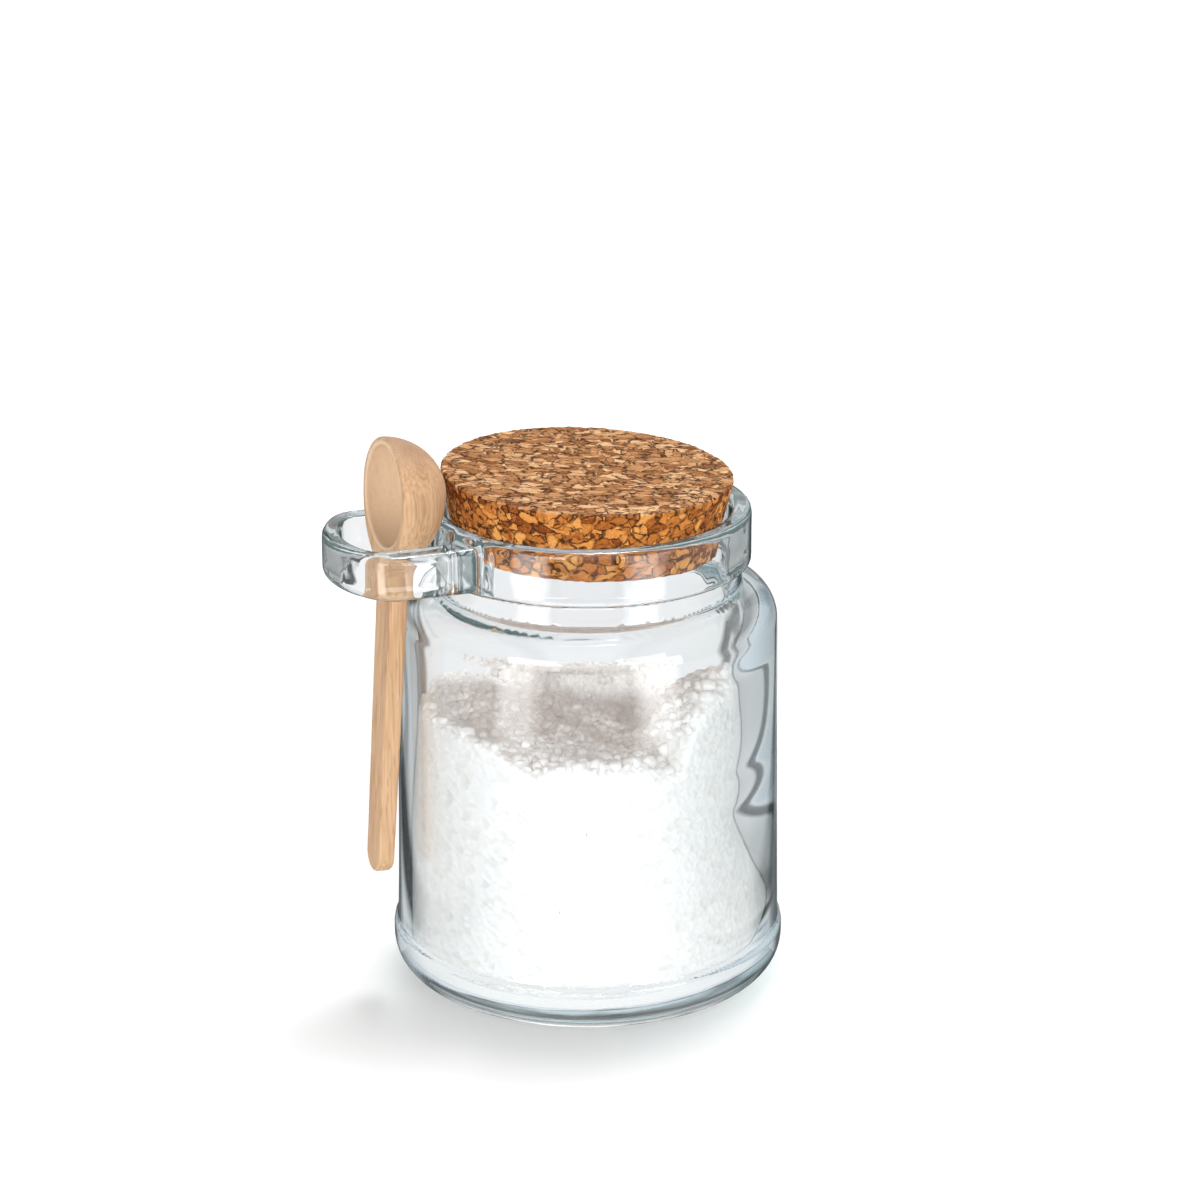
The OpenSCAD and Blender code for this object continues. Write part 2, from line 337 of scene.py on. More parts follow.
def loop_hole():
    y = LOOP_HOLE_HALF - LOOP_HOLE_CORNER
    near_x = math.sqrt((RELIEF_R + LOOP_HOLE_CORNER) ** 2 - y ** 2)
    near = math.degrees(math.atan2(y, near_x))
    end_r = LOOP_END_R - LOOP_END_T
    far_x = corner_x(LOOP_HOLE_HALF, LOOP_HOLE_CORNER, end_r)
    far = math.degrees(math.atan2(y, far_x - LOOP_END_X))
    return both_sides(
        arc(0, 0, RELIEF_R, 0, near)
        + arc(near_x, y, LOOP_HOLE_CORNER, near + 180, 90)
        + arc(far_x, y, LOOP_HOLE_CORNER, 90, far)
        + arc(LOOP_END_X, 0, end_r, far, 0)
    )


OUTSIDE = Drawn(lambda r, z: polygon_distance(r, z, jar_outside()), (-2, -3), (43, GLASS_H + 3))
CAVITY = Drawn(lambda r, z: polygon_distance(r, z, cavity()), (-2, -3), (43, GLASS_H + 3))
MOUTH = Drawn(lambda r, z: polygon_distance(r, z, mouth()), (-2, -3), (43, GLASS_H + 3))
HOLE = Drawn(lambda x, y: polygon_distance(x, y, loop_hole()), (22, -22), (57, 22))
RING = Drawn(
    lambda x, y: np.maximum(polygon_distance(x, y, loop_outline()), -polygon_distance(x, y, loop_hole())),
    (22, -22), (57, 22),
)


def bump(t):
    return np.exp(-t * t)


def inside_distance(x, y, z):
    """Distance to the blown inside, whose right wall is wavy: thick at the middle, thin at the foot."""
    x = x + CAVITY_SHIFT
    r, angle = np.hypot(x, y), np.arctan2(y, x)
    stand_in = 1.0 * bump((z - 38) / 8) - 1.7 * bump((z - 14) / 9)
    stand_in = stand_in + 0.7 * smooth_step(z, 40, 48) * (1 - smooth_step(z, 66, 74))
    stand_in = stand_in * np.exp(2.4 * (np.cos(angle) - 1))
    stand_in = stand_in + 0.10 * np.sin(3 * angle + z / 11) + 0.06 * np.sin(5 * angle - z / 6 + 2)
    stand_in = stand_in * smooth_step(z, 5, 11) * (1 - smooth_step(z, 70, 77))
    return CAVITY(r + stand_in, z)


def jar_distance(x, y, z):
    r, angle = np.hypot(x, y), np.arctan2(y, x)
    ripple = 0.05 * np.sin(2 * angle + z / 14) + 0.03 * np.sin(7 * angle - z / 9 + 1)
    ripple = ripple * smooth_step(z, 10, 20) * (1 - smooth_step(z, 70, 84))
    glass = OUTSIDE(r + 0.08 + ripple, z)
    u, v = turned(x, y, LOOP_TURN)
    dz = z - LOOP_MID
    edge = np.where(dz > 0, 1.5, 1.8)
    loop = rounded_slab(RING(u, v), dz, LOOP_H / 2, edge)
    loop = np.where(u > 20, loop, 20)
    glass = smooth_min(glass, loop, 1.6)
    hole = np.where(u > 20, HOLE(u, v), 20)
    hole = np.maximum(hole, NECK_TOP - 1 - z)
    glass = smooth_max(glass, -hole, 1.0)
    glass = smooth_max(glass, -inside_distance(x, y, z), 0.3)
    glass = smooth_max(glass, -MOUTH(r, z), 0.3)
    push_up = np.sqrt(x * x + y * y + (z + 302.8) ** 2) - 304
    return smooth_max(glass, -push_up, 0.8)


# The stopper

CORK_TAPER = math.radians(12)
CORK_TILT = (math.radians(0.8), math.radians(2.6))
CORK_RIM_R = MOUTH_R - 0.6
CORK_RISE = 6.9
CORK_DEPTH = 7.0
CORK_SHIFT = -0.4


def cork_frame(x, y, z):
    """Coordinates in the stopper's own frame, which is a little askew in the mouth."""
    x, z = x - CORK_SHIFT, z - GLASS_H
    a, b = CORK_TILT
    x, z = x * math.cos(b) - z * math.sin(b), x * math.sin(b) + z * math.cos(b)
    y, z = y * math.cos(a) + z * math.sin(a), z * math.cos(a) - y * math.sin(a)
    return x, y, z


def cork_distance(x, y, z):
    x, y, z = cork_frame(x, y, z)
    side = (np.hypot(x, y) - CORK_RIM_R - z * math.tan(CORK_TAPER)) * math.cos(CORK_TAPER)
    cork = smooth_max(smooth_max(side, z - CORK_RISE, 0.8), -CORK_DEPTH - z, 0.8)
    lumps = np.sin(x * 1.9 + 1.3 * np.sin(y * 1.1)) * np.sin(y * 2.3 + z * 1.4) * np.sin(z * 2.1 + x * 0.9)
    return cork + 0.06 + 0.10 * lumps


# The spoon, in its own frame: the bowl opens along +X and the handle runs down along -Z

BOWL_R = LOOP_HOLE_HALF + 1.4
BOWL_TOP = 11.2
BOWL_LOW = 14.3
BOWL_FRONT = 0.4
HANDLE_L = 76.8
SPOON_LEAN = math.radians(3.3)
SPOON_TURN = math.radians(2)
SPOON_X = 41.24
SPOON_Z = 102.509


def spoon_frame(x, y, z):
    x, y = turned(x, y, LOOP_TURN)
    x, z = x - SPOON_X, z - SPOON_Z
    c, s = math.cos(SPOON_LEAN), math.sin(SPOON_LEAN)
    x, z = x * c + z * s, z * c - x * s
    x, y = turned(x, y, SPOON_TURN)
    return x, y, z


def egg(x, y, z, r, top, low):
    h = np.where(z > 0, top, low)
    near = np.sqrt((x * x + y * y) / r ** 2 + (z / h) ** 2)
    steep = np.sqrt((x * x + y * y) / r ** 4 + (z / h ** 2) ** 2)
    return near * (near - 1) / np.maximum(steep, 1e-6)


def spoon_distance(x, y, z):
    x, y, z = spoon_frame(x, y, z)
    bowl = egg(x, y, z, BOWL_R - 0.05, BOWL_TOP - 0.05, BOWL_LOW - 0.05)
    down = np.clip(-z / HANDLE_L, 0, 1)
    half_w = 4.4 - 0.8 * down
    half_t = 1.95 - 0.25 * down
    middle = -0.4 - half_t
    tip = np.hypot(y, np.minimum(z + HANDLE_L - half_w, 0)) - half_w
    plan = np.where(z < -HANDLE_L + half_w, tip, np.abs(y) - half_w)
    handle = rounded_slab(plan, x - middle, half_t, 0.7)
    handle = np.maximum(handle, z + 9)
    spoon = smooth_min(bowl, handle, 2.2)
    spoon = smooth_max(spoon, x - BOWL_FRONT, 0.7)
    hollow = egg(x, y, z, BOWL_R - 1.6, BOWL_TOP - 1.6, BOWL_LOW - 4.4)
    return smooth_max(spoon, -hollow, 0.6)


# The salt

SALT_GAP = 0.25


def salt_height(x, y):
    """Height of the salt's surface: banked up on the left and heaped at the front right."""
    level = 51.5 - 0.061 * y
    bank = level - 0.231 * (x + 5)
    square = (x - 27.77) ** 2 + (y + 15.35) ** 2
    heap = 51.0 + np.sqrt(np.maximum(240 - square, 4)) - 0.03 * np.maximum(square - 190, 0)
    surface = smooth_max(smooth_max(level, bank, 2), heap, 3)
    return surface + 0.9 * np.sin(x / 4.1 + 0.6) * np.sin(y / 5 + 1.1) + 0.6 * np.sin(x / 2.3 + y / 3.1)


def salt_distance(x, y, z):
    body = inside_distance(x, y, z) + SALT_GAP
    grains = np.sin(x * 2.6 + 1.7 * np.sin(z * 1.3)) * np.sin(y * 2.4 + x) * np.sin(z * 2.7 + 1.2 * np.sin(y * 1.7))
    return smooth_max(body + 0.12 + 0.12 * grains, z - salt_height(x, y) + 0.45 * grains, 3.0)


def build_grains(count):
    """Loose crystals that lie in the salt's surface: little boxes with blunt corners."""
    cube = np.array([(x, y, z) for x in (-1, 0, 1) for y in (-1, 0, 1) for z in (-1, 0, 1)], float)
    index = {tuple(corner): i for i, corner in enumerate(cube)}
    sides = []
    for axis in range(3):
        for face in (-1, 1):
            for a in (-1, 0):
                for b in (-1, 0):
                    ring = [(a, b), (a + 1, b), (a + 1, b + 1), (a, b + 1)][::face]
                    sides.append([index[tuple(np.roll([face, u, v], axis))] for u, v in ring])
    sides = np.array(sides)
    blunt = cube / (np.linalg.norm(cube, axis=1)[:, None] ** 0.72 + 1e-9)
    points, faces = [], []
    while len(points) < count:
        x, y = rng.uniform(-34, 34, 2)
        z = salt_height(x, y)
        if inside_distance(x, y, z) > -1.7:
            continue
        size = rng.uniform(0.95, 1.9) * np.array([1, rng.uniform(0.7, 1), rng.uniform(0.4, 0.7)])
        spin, _ = np.linalg.qr(rng.normal(size=(3, 3)))
        if np.linalg.det(spin) < 0:
            spin[:, 0] = -spin[:, 0]
        shape = blunt * size * rng.uniform(0.86, 1.0, cube.shape)
        faces.append(sides + len(points) * len(cube))
        points.append(shape @ spin.T + (x, y, z + rng.uniform(-0.7, 0.1)))
    points, faces = np.concatenate(points), np.concatenate(faces)
    used = np.unique(faces)
    number = np.zeros(len(points), int)
    number[used] = np.arange(len(used))
    made = make_mesh("salt_grains", points[used], number[faces])
    made.data.shade_smooth()
    return made


# Materials

def material(name):
    """A new node material: (material, nodes, links, principled shader)."""
    made = bpy.data.materials.new(name)
    made.use_nodes = True
    nodes, links = made.node_tree.nodes, made.node_tree.links
    return made, nodes, links, nodes["Principled BSDF"]


def ramp(nodes, stops):
    node = nodes.new("ShaderNodeValToRGB")
    elements = node.color_ramp.elements
    for place, (position, colour) in enumerate(stops):
        element = elements[place] if place < 2 else elements.new(position)
        element.position = position
        element.color = (*colour, 1)
    return node


def any_of(nodes, links, *outputs):
    """The largest of some values."""
    most = outputs[0]
    for output in outputs[1:]:
        node = nodes.new("ShaderNodeMath")
        node.operation = "MAXIMUM"
        links.new(most, node.inputs[0])
        links.new(output, node.inputs[1])
        most = node.outputs["Value"]
    return most


def mapped(nodes, links, value, low, high, out_low=0.0, out_high=1.0):
    """A value taken smoothly from one range to another."""
    node = nodes.new("ShaderNodeMapRange")
    node.interpolation_type = "SMOOTHSTEP"
    node.inputs["From Min"].default_value = low
    node.inputs["From Max"].default_value = high
    node.inputs["To Min"].default_value = out_low
    node.inputs["To Max"].default_value = out_high
    links.new(value, node.inputs["Value"])
    return node.outputs["Result"]


def math_node(nodes, links, operation, *values):
    node = nodes.new("ShaderNodeMath")
    node.operation = operation
    for socket, value in zip(node.inputs, values):
        if isinstance(value, (int, float)):
            socket.default_value = value
        else:
            links.new(value, socket)
    return node.outputs["Value"]


def mixed(nodes, links, factor, a, b, kind="RGBA"):
    """A mix of two colours or values, either of which is a constant or a socket."""
    node = nodes.new("ShaderNodeMix")
    node.data_type = kind
    name = "_Color" if kind == "RGBA" else "_Float"
    sockets = {socket.identifier: socket for socket in node.inputs}
    for key, value in (("Factor_Float", factor), ("A" + name, a), ("B" + name, b)):
        socket = sockets[key]
        if hasattr(value, "links"):
            links.new(value, socket)
        else:
            socket.default_value = (*value, 1) if isinstance(value, tuple) else value
    return next(socket for socket in node.outputs if socket.identifier == "Result" + name)


def graph(nodes, links, value, *points):
    """A value read off a line through some points, which must lie between 0 and 1."""
    node = ramp(nodes, [(x, (y, y, y)) for x, y in (points[0], points[-1], *points[1:-1])])
    links.new(value, node.inputs["Fac"])
    return node.outputs["Color"]


def glass_material():
    made, nodes, links, shader = material("clear_glass")
    shader.inputs["Roughness"].default_value = 0.0
    shader.inputs["IOR"].default_value = 1.5
    shader.inputs["Transmission Weight"].default_value = 1.0
    # Painted shade: the glass's base colour darkens towards grazing angles, fully for camera rays and less after a
    # bounce, for the dark edges of thick glass.
    rim = nodes.new("ShaderNodeLayerWeight")
    rim.inputs["Blend"].default_value = 0.5
    grazing_shade = ramp(nodes, [
        (0.0, (0.99, 0.988, 1.0)), (1.0, (0.05, 0.07, 0.07)), (0.5, (0.97, 0.98, 0.985)),
        (0.64, (0.56, 0.62, 0.63)), (0.82, (0.13, 0.17, 0.175)),
    ])
    place = nodes.new("ShaderNodeTexCoord")
    height = nodes.new("ShaderNodeSeparateXYZ")
    links.new(place.outputs["Object"], height.inputs["Vector"])
    moulded = mapped(nodes, links, height.outputs["Z"], NECK_TOP * MM - 0.006, NECK_TOP * MM)
    path = nodes.new("ShaderNodeLightPath")
    deeper = mixed(nodes, links, moulded, 0.62, 0.88, "FLOAT")
    first = mixed(nodes, links, path.outputs["Is Camera Ray"], deeper, 1.0, "FLOAT")
    links.new(math_node(nodes, links, "MULTIPLY", rim.outputs["Facing"], first), grazing_shade.inputs["Fac"])
    links.new(grazing_shade.outputs["Color"], shader.inputs["Base Color"])
    # Painted shade: a near-black matte shader, mixed in where a face is seen at a grazing angle and broken up by tall
    # noise streaks, draws a dark contour on the glass.
    painted_dark_contour = nodes.new("ShaderNodeBsdfDiffuse")
    painted_dark_contour.inputs["Color"].default_value = (0.04, 0.055, 0.06, 1)
    edged = nodes.new("ShaderNodeMixShader")
    wavy = nodes.new("ShaderNodeBump")
    wavy.inputs["Strength"].default_value = 0.3
    wavy.inputs["Distance"].default_value = 0.0007
    uneven = noise(nodes, links, place.outputs["Object"], 170, 1.0)["Fac"]
    links.new(math_node(nodes, links, "MULTIPLY", uneven, moulded), wavy.inputs["Height"])
    links.new(wavy.outputs["Normal"], shader.inputs["Normal"])
    tall = nodes.new("ShaderNodeMapping")
    tall.inputs["Scale"].default_value = (70, 70, 22)
    links.new(place.outputs["Object"], tall.inputs["Vector"])
    streak = math_node(nodes, links, "MULTIPLY_ADD", noise(nodes, links, tall.outputs["Vector"], 1.0)["Fac"], 0.5, -0.25)
    reach = math_node(nodes, links, "ADD", rim.outputs["Facing"], streak)
    links.new(mapped(nodes, links, reach, 0.76, 0.92, 0.0, 0.85), edged.inputs["Fac"])
    links.new(shader.outputs["BSDF"], edged.inputs[1])
    links.new(painted_dark_contour.outputs["BSDF"], edged.inputs[2])
    clear = nodes.new("ShaderNodeBsdfTransparent")
    clear.inputs["Color"].default_value = (0.985, 0.985, 0.985, 1)
    # Painted light: from the third glossy bounce on, the glass shows a flat glow instead, pale in the body and dark
    # teal in the collar and loop.
    painted_wall_glow = nodes.new("ShaderNodeEmission")
    links.new(mixed(nodes, links, moulded, (0.92, 0.93, 1.0), (0.16, 0.22, 0.22)), painted_wall_glow.inputs["Color"])
    long_way = nodes.new("ShaderNodeMixShader")
    links.new(math_node(nodes, links, "GREATER_THAN", path.outputs["Glossy Depth"], 2.5), long_way.inputs["Fac"])
    links.new(edged.outputs["Shader"], long_way.inputs[1])
    links.new(painted_wall_glow.outputs["Emission"], long_way.inputs[2])
    mix = nodes.new("ShaderNodeMixShader")
    out = nodes["Material Output"]
    lit = any_of(nodes, links, path.outputs["Is Shadow Ray"], path.outputs["Is Diffuse Ray"])
    links.new(lit, mix.inputs["Fac"])
    links.new(long_way.outputs["Shader"], mix.inputs[1])
    links.new(clear.outputs["BSDF"], mix.inputs[2])
    links.new(mix.outputs["Shader"], out.inputs["Surface"])
    absorb = nodes.new("ShaderNodeVolumeAbsorption")
    absorb.inputs["Color"].default_value = (0.44, 0.62, 0.62, 1)
    absorb.inputs["Density"].default_value = 20
    links.new(absorb.outputs["Volume"], out.inputs["Volume"])
    return made


def chips(nodes, links, vector, turn, stretch):
    """Cork chips that lie in one direction: two random tones and the distance to a chip's edge."""
    lie = nodes.new("ShaderNodeMapping")
    lie.inputs["Rotation"].default_value = turn
    lie.inputs["Scale"].default_value = stretch
    links.new(vector, lie.inputs["Vector"])
    cell = nodes.new("ShaderNodeTexVoronoi")
    cell.inputs["Scale"].default_value = 1
    links.new(lie.outputs["Vector"], cell.inputs["Vector"])
    edge = nodes.new("ShaderNodeTexVoronoi")
    edge.feature = "DISTANCE_TO_EDGE"
    edge.inputs["Scale"].default_value = 1
    links.new(lie.outputs["Vector"], edge.inputs["Vector"])
    tone = nodes.new("ShaderNodeSeparateColor")
    links.new(cell.outputs["Color"], tone.inputs["Color"])
    return tone.outputs["Red"], tone.outputs["Green"], edge.outputs["Distance"]


def noise(nodes, links, vector, scale, detail=2.0):
    node = nodes.new("ShaderNodeTexNoise")
    node.inputs["Scale"].default_value = scale
    node.inputs["Detail"].default_value = detail
    links.new(vector, node.inputs["Vector"])
    return node.outputs


def cork_material():
    made, nodes, links, shader = material("pressed_cork")
    shader.inputs["Roughness"].default_value = 0.85
    shader.inputs["Specular IOR Level"].default_value = 0.15
    place = nodes.new("ShaderNodeTexCoord")
    bent = nodes.new("ShaderNodeVectorMath")
    bent.operation = "MULTIPLY_ADD"
    links.new(noise(nodes, links, place.outputs["Object"], 420)["Color"], bent.inputs[0])
    bent.inputs[1].default_value = (0.0022, 0.0022, 0.0022)
    links.new(place.outputs["Object"], bent.inputs[2])
    pick, tone, edge = chips(nodes, links, bent.outputs["Vector"], (0.3, 0.5, 0.2), (270, 640, 560))
    for turn, stretch in (((1.9, 0.4, 1.2), (640, 300, 520)), ((0.5, 2.2, 2.5), (330, 700, 480))):
        pick_b, tone_b, edge_b = chips(nodes, links, bent.outputs["Vector"], turn, stretch)
        top = math_node(nodes, links, "GREATER_THAN", pick, 0.42)
        tone = mixed(nodes, links, top, tone_b, tone, "FLOAT")
        edge = mixed(nodes, links, top, edge_b, edge, "FLOAT")
        pick = mixed(nodes, links, top, pick_b, pick, "FLOAT")
    fibre = noise(nodes, links, bent.outputs["Vector"], 2600, 3)["Fac"]
    tone = math_node(nodes, links, "ADD", tone, math_node(nodes, links, "MULTIPLY_ADD", fibre, 1.0, -0.5))
    top_colours = ramp(nodes, [
        (0.0, (0.21, 0.072, 0.022)), (1.0, (0.84, 0.52, 0.28)),
        (0.22, (0.40, 0.17, 0.062)), (0.6, (0.57, 0.28, 0.115)),
    ])
    side_colours = ramp(nodes, [
        (0.0, (0.19, 0.042, 0.007)), (1.0, (0.82, 0.38, 0.10)),
        (0.25, (0.42, 0.13, 0.022)), (0.6, (0.62, 0.22, 0.044)),
    ])
    links.new(tone, top_colours.inputs["Fac"])
    links.new(tone, side_colours.inputs["Fac"])
    facing = nodes.new("ShaderNodeSeparateXYZ")
    links.new(place.outputs["Normal"], facing.inputs["Vector"])
    on_top = mapped(nodes, links, facing.outputs["Z"], 0.3, 0.8)
    colour = mixed(nodes, links, on_top, side_colours.outputs["Color"], top_colours.outputs["Color"])
    joint = mapped(nodes, links, edge, 0.0, 0.16, 1.0, 0.0)
    where = noise(nodes, links, place.outputs["Object"], 640)["Fac"]
    deep = math_node(nodes, links, "MULTIPLY", joint, mapped(nodes, links, where, 0.42, 0.54, 0.3, 1.0))
    links.new(mixed(nodes, links, deep, colour, (0.040, 0.014, 0.006)), shader.inputs["Base Color"])
    bump = nodes.new("ShaderNodeBump")
    bump.inputs["Strength"].default_value = 0.8
    bump.inputs["Distance"].default_value = 0.0003
    links.new(math_node(nodes, links, "MULTIPLY_ADD", deep, -1.0, tone), bump.inputs["Height"])
    links.new(bump.outputs["Normal"], shader.inputs["Normal"])
    return made


def wood_material():
    made, nodes, links, shader = material("pale_wood")
    shader.inputs["Roughness"].default_value = 0.55
    shader.inputs["Specular IOR Level"].default_value = 0.3
    place = nodes.new("ShaderNodeTexCoord")
    along = nodes.new("ShaderNodeMapping")
    along.inputs["Rotation"].default_value = (0.02, -0.054, 0)
    along.inputs["Scale"].default_value = (1.0, 1.0, 0.04)
    links.new(place.outputs["Object"], along.inputs["Vector"])
    fine = noise(nodes, links, along.outputs["Vector"], 2300, 3)["Fac"]
    broad = noise(nodes, links, along.outputs["Vector"], 330, 2)["Fac"]
    both = mixed(nodes, links, 0.45, fine, broad, "FLOAT")
    colours = ramp(nodes, [(0.36, (0.46, 0.265, 0.14)), (0.62, (0.70, 0.46, 0.28)), (0.48, (0.60, 0.37, 0.205))])
    links.new(both, colours.inputs["Fac"])
    pores = nodes.new("ShaderNodeMapping")
    pores.inputs["Scale"].default_value = (2400, 2400, 260)
    links.new(place.outputs["Object"], pores.inputs["Vector"])
    fleck = nodes.new("ShaderNodeTexVoronoi")
    fleck.inputs["Scale"].default_value = 1
    links.new(pores.outputs["Vector"], fleck.inputs["Vector"])
    few = nodes.new("ShaderNodeSeparateColor")
    links.new(fleck.outputs["Color"], few.inputs["Color"])
    dark = math_node(nodes, links, "MULTIPLY", mapped(nodes, links, fleck.outputs["Distance"], 0.15, 0.5, 0.5, 0.0),
                     math_node(nodes, links, "GREATER_THAN", few.outputs["Red"], 0.8))
    flecked = mixed(nodes, links, dark, colours.outputs["Color"], (0.34, 0.19, 0.10))
    # Painted light: near the bowl's middle, over its hollow, the wood is mixed part way to a pale tan that lifts the
    # hollow's shade.
    hollow = nodes.new("ShaderNodeVectorMath")
    hollow.operation = "DISTANCE"
    links.new(place.outputs["Object"], hollow.inputs[0])
    hollow.inputs[1].default_value = (
        SPOON_X * MM * math.cos(LOOP_TURN), SPOON_X * MM * math.sin(LOOP_TURN), SPOON_Z * MM)
    painted_hollow_light = mapped(nodes, links, hollow.outputs["Value"], (BOWL_R - 1.4) * MM, (BOWL_R - 1.0) * MM, 0.6, 0.0)
    # Painted shade: faces that turn upward are mixed towards a dull dark brown.
    facing = nodes.new("ShaderNodeSeparateXYZ")
    links.new(place.outputs["Normal"], facing.inputs["Vector"])
    painted_top_shade = mapped(nodes, links, facing.outputs["Z"], 0.4, 0.95, 0.0, 0.7)
    outer = mixed(nodes, links, painted_top_shade, flecked, (0.36, 0.215, 0.13))
    links.new(mixed(nodes, links, painted_hollow_light, outer, (0.84, 0.66, 0.475)), shader.inputs["Base Color"])
    bump = nodes.new("ShaderNodeBump")
    bump.inputs["Strength"].default_value = 0.25
    bump.inputs["Distance"].default_value = 0.0001
    links.new(fine, bump.inputs["Height"])
    links.new(bump.outputs["Normal"], shader.inputs["Normal"])
    return made


def salt_material():
    made, nodes, links, shader = material("coarse_salt")
    shader.inputs["Roughness"].default_value = 0.35
    shader.inputs["Subsurface Weight"].default_value = 0.4
    shader.inputs["Subsurface Radius"].default_value = (0.0015, 0.0015, 0.0015)
    shader.inputs["Subsurface Scale"].default_value = 1.0
    place = nodes.new("ShaderNodeTexCoord")
    cells = nodes.new("ShaderNodeTexVoronoi")
    cells.inputs["Scale"].default_value = 620
    links.new(place.outputs["Object"], cells.inputs["Vector"])
    tone = nodes.new("ShaderNodeSeparateColor")
    links.new(cells.outputs["Color"], tone.inputs["Color"])
    colours = ramp(nodes, [(0.0, (0.84, 0.84, 0.815)), (1.0, (0.955, 0.955, 0.95)), (0.3, (0.92, 0.92, 0.91))])
    links.new(tone.outputs["Red"], colours.inputs["Fac"])
    links.new(colours.outputs["Color"], shader.inputs["Base Color"])
    facing = nodes.new("ShaderNodeSeparateXYZ")
    links.new(place.outputs["Normal"], facing.inputs["Vector"])
    # Painted light: a faint warm glow, strongest on faces that turn upward, lightens the salt's shaded top.
    shader.inputs["Emission Color"].default_value = (1.0, 0.84, 0.74, 1)
    links.new(mapped(nodes, links, facing.outputs["Z"], -0.1, 0.5, 0.03, 0.11), shader.inputs["Emission Strength"])
    bump = nodes.new("ShaderNodeBump")
    bump.inputs["Strength"].default_value = 0.6
    bump.inputs["Distance"].default_value = 0.0004
    links.new(cells.outputs["Distance"], bump.inputs["Height"])
    links.new(bump.outputs["Normal"], shader.inputs["Normal"])
    return made


# The floor, the lights and the camera

def build_floor():
    """A pale table. What the glass mirrors and bends shows it darker at the sides, as in a dark studio
    round a white table, with two bright strips in front."""
    size = 6.0
    mesh = bpy.data.meshes.new("floor")
    mesh.from_pydata([(-size, -size, 0), (size, -size, 0), (size, size, 0), (-size, size, 0)], [], [(0, 1, 2, 3)])
    floor = bpy.data.objects.new("floor", mesh)
    bpy.context.scene.collection.objects.link(floor)
    made, nodes, links, shader = material("pale_floor")
    nodes.remove(shader)
    path = nodes.new("ShaderNodeLightPath")
    place = nodes.new("ShaderNodeTexCoord")
    parts = nodes.new("ShaderNodeSeparateXYZ")
    links.new(place.outputs["Object"], parts.inputs["Vector"])
    across = math_node(nodes, links, "ABSOLUTE", parts.outputs["X"])
    along = math_node(nodes, links, "ABSOLUTE", parts.outputs["Y"])
    away = nodes.new("ShaderNodeVectorMath")
    away.operation = "LENGTH"
    links.new(place.outputs["Object"], away.inputs[0])

    matte = nodes.new("ShaderNodeBsdfDiffuse")
    matte.inputs["Color"].default_value = (0.88, 0.88, 0.88, 1)
    glow = nodes.new("ShaderNodeEmission")
    far = mapped(nodes, links, away.outputs["Value"], 0.12, 0.7, GLOW_NEAR, GLOW_FAR)
    links.new(math_node(nodes, links, "MULTIPLY", far, path.outputs["Is Camera Ray"]), glow.inputs["Strength"])
    seen = nodes.new("ShaderNodeAddShader")
    links.new(matte.outputs["BSDF"], seen.inputs[0])
    links.new(glow.outputs["Emission"], seen.inputs[1])

    wedge = math_node(nodes, links, "MULTIPLY_ADD", along, -0.17, across)
    shade = graph(nodes, links, math_node(nodes, links, "MULTIPLY", wedge, 3.0),
                  (0.155, 1.0), (0.185, 0.05), (0.235, 0.05), (0.27, 0.75), (0.45, 0.6), (0.9, SIDE_SHADE))
    ratio = math_node(nodes, links, "DIVIDE", across, along)
    far_out = mapped(nodes, links, away.outputs["Value"], 0.19, 0.225)
    strips = graph(nodes, links, math_node(nodes, links, "MULTIPLY", ratio, 0.5),
                   (0.22, 0.0), (0.32, 1.0), (0.53, 1.0), (0.68, 0.15), (1.0, 0.15))
    table = graph(nodes, links, math_node(nodes, links, "MULTIPLY", ratio, 0.5),
                  (0.0, 1.0), (0.25, 0.9), (0.55, 0.5), (0.85, 0.2), (1.0, 0.15))
    front = mixed(nodes, links, far_out, math_node(nodes, links, "MULTIPLY", table, TABLE_GLOW),
                  math_node(nodes, links, "MULTIPLY", strips, STRIP_GLOW), "FLOAT")
    in_front = math_node(nodes, links, "LESS_THAN", parts.outputs["Y"], 0.0)
    mirror = math_node(nodes, links, "SUBTRACT", in_front, path.outputs["Is Transmission Ray"])
    mirror = math_node(nodes, links, "MAXIMUM", mirror, 0.0)
    shade = mixed(nodes, links, mirror, shade, front, "FLOAT")
    mirrored = nodes.new("ShaderNodeEmission")
    links.new(shade, mirrored.inputs["Strength"])
    both = nodes.new("ShaderNodeMixShader")
    in_glass = any_of(nodes, links, path.outputs["Is Glossy Ray"], path.outputs["Is Transmission Ray"])
    links.new(in_glass, both.inputs["Fac"])
    links.new(seen.outputs["Shader"], both.inputs[1])
    links.new(mirrored.outputs["Emission"], both.inputs[2])
    links.new(both.outputs["Shader"], nodes["Material Output"].inputs["Surface"])
    mesh.materials.append(made)
    return floor


GLOW_NEAR = 0.07
GLOW_FAR = 0.62
SIDE_SHADE = 0.34
STRIP_GLOW = 6.5
TABLE_GLOW = 2.8
AMBIENT = 0.46


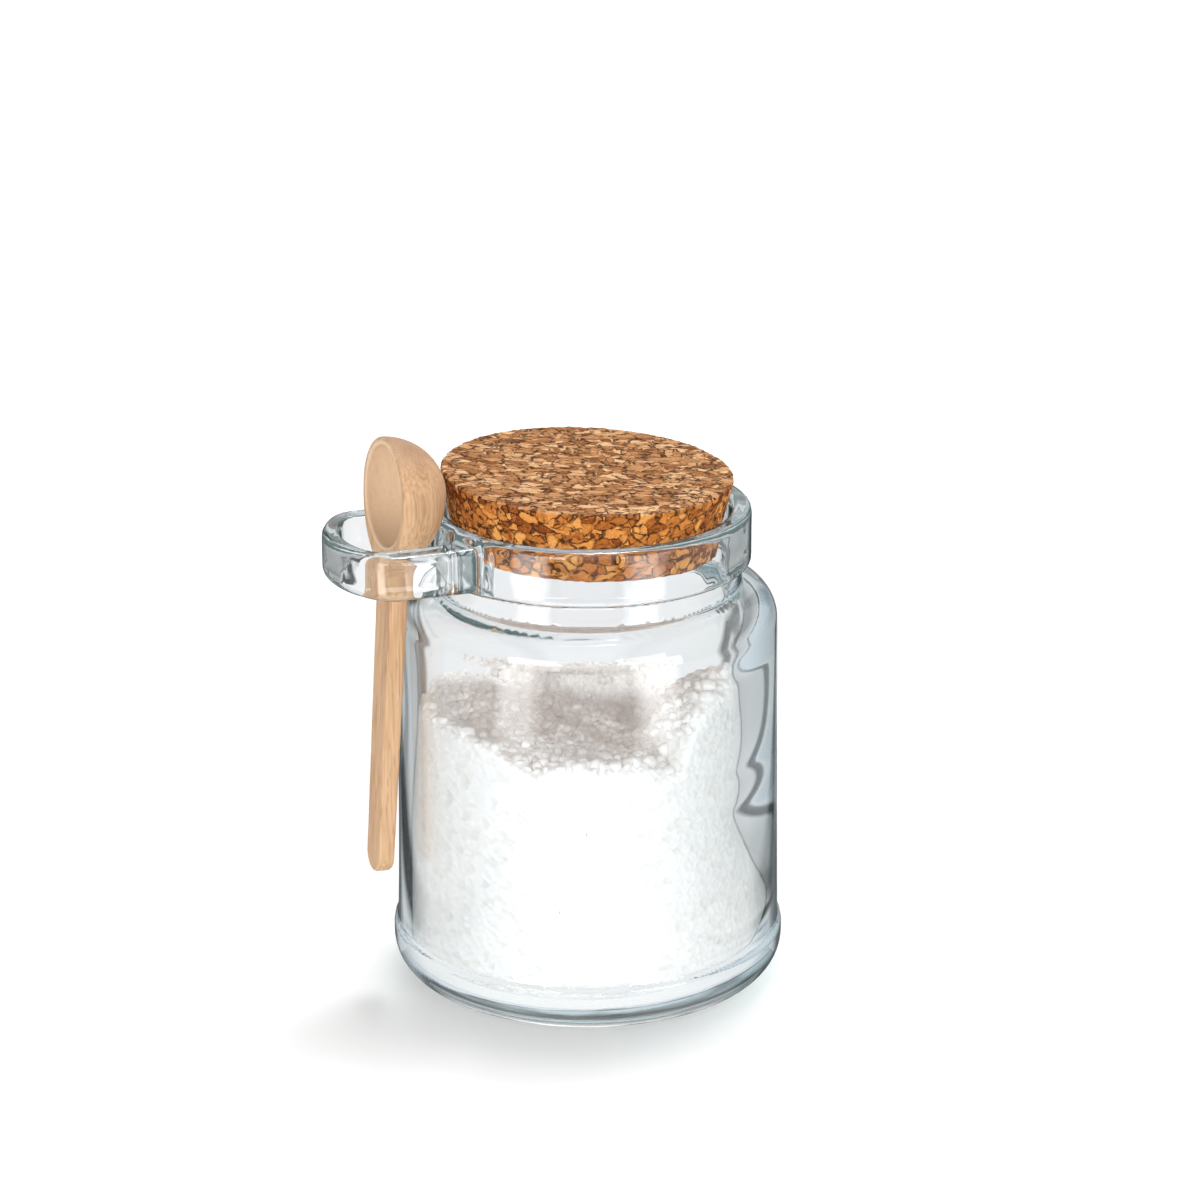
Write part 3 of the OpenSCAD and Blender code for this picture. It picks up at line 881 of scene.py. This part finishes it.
def build_world():
    """White for the camera, softer for plain light, and darker at the sides for the glass."""
    world = bpy.data.worlds.new("studio")
    bpy.context.scene.world = world
    world.use_nodes = True
    nodes, links = world.node_tree.nodes, world.node_tree.links
    path = nodes.new("ShaderNodeLightPath")
    place = nodes.new("ShaderNodeTexCoord")
    parts = nodes.new("ShaderNodeSeparateXYZ")
    links.new(place.outputs["Generated"], parts.inputs["Vector"])
    side = math_node(nodes, links, "ABSOLUTE", parts.outputs["X"])
    shade = graph(nodes, links, side, (0.3, 1.0), (0.38, 0.08), (0.5, 0.08), (0.58, 0.7), (1.0, SIDE_SHADE))
    in_glass = any_of(nodes, links, path.outputs["Is Glossy Ray"], path.outputs["Is Transmission Ray"])
    level = mixed(nodes, links, in_glass, AMBIENT, shade, "FLOAT")
    level = any_of(nodes, links, level, path.outputs["Is Camera Ray"])
    links.new(level, nodes["Background"].inputs["Strength"])
    nodes["Background"].inputs["Color"].default_value = (1, 1, 1, 1)


def area_light(name, place, aim, size, power):
    light = bpy.data.lights.new(name, "AREA")
    light.shape = "RECTANGLE"
    light.size, light.size_y = size
    light.energy = power
    lamp = bpy.data.objects.new(name, light)
    lamp.location = place
    lamp.rotation_euler = (Vector(place) - Vector(aim)).to_track_quat("Z", "Y").to_euler()
    bpy.context.scene.collection.objects.link(lamp)
    return lamp


def build_camera():
    lens = bpy.data.cameras.new("camera")
    lens.sensor_width = 36
    lens.lens = 118.2
    camera = bpy.data.objects.new("camera", lens)
    camera.location = (0.000533, -0.7202, 0.32115)
    camera.rotation_euler = (math.radians(71.377), 0, 0)
    bpy.context.scene.collection.objects.link(camera)
    bpy.context.scene.camera = camera


def dress(piece, body, slot, paint, *nodes):
    """A piece rides on a body, takes a finish and stands for CAD nodes. The slot is not used."""
    piece.data.materials.append(paint)
    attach(piece, body)
    if nodes:
        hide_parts(*nodes)


bpy.context.scene.view_settings.view_transform = "Standard"
build_camera()
build_floor()
build_world()
area_light("top", (0.05, 0.18, 0.88), (0, 0, 0.05), (0.22, 0.22), 4.8)
area_light("left", (-0.45, -0.76, 0.22), (0, 0, 0.06), (0.5, 0.36), 3.3)
area_light("right", (0.55, -0.65, 0.22), (0, 0, 0.06), (0.5, 0.36), 2.5)

glass = sculpt("jar_glass", jar_distance, (-56, -42, -1.5), (42, 42, GLASS_H + 1.5), 0.8)
dress(glass, "jar", "clear_glass", glass_material(), "glass_jar")
cork = sculpt("cork_plug", cork_distance, (-31, -31, GLASS_H - 10), (31, 31, GLASS_H + 9), 0.5)
dress(cork, "stopper", "cork", cork_material(), "cork_stopper")
spoon = sculpt("salt_spoon", spoon_distance, (-56, -33, 22), (-24, 4, 116), 0.4)
dress(spoon, "spoon", "pale_wood", wood_material(), "wooden_spoon")
salt_paint = salt_material()
salt = sculpt("salt_heap", salt_distance, (-37, -37, 3), (37, 37, 70), 0.7)
dress(salt, "jar", "salt", salt_paint, "salt_fill")
grains = build_grains(2200)
dress(grains, "jar", "salt", salt_paint)
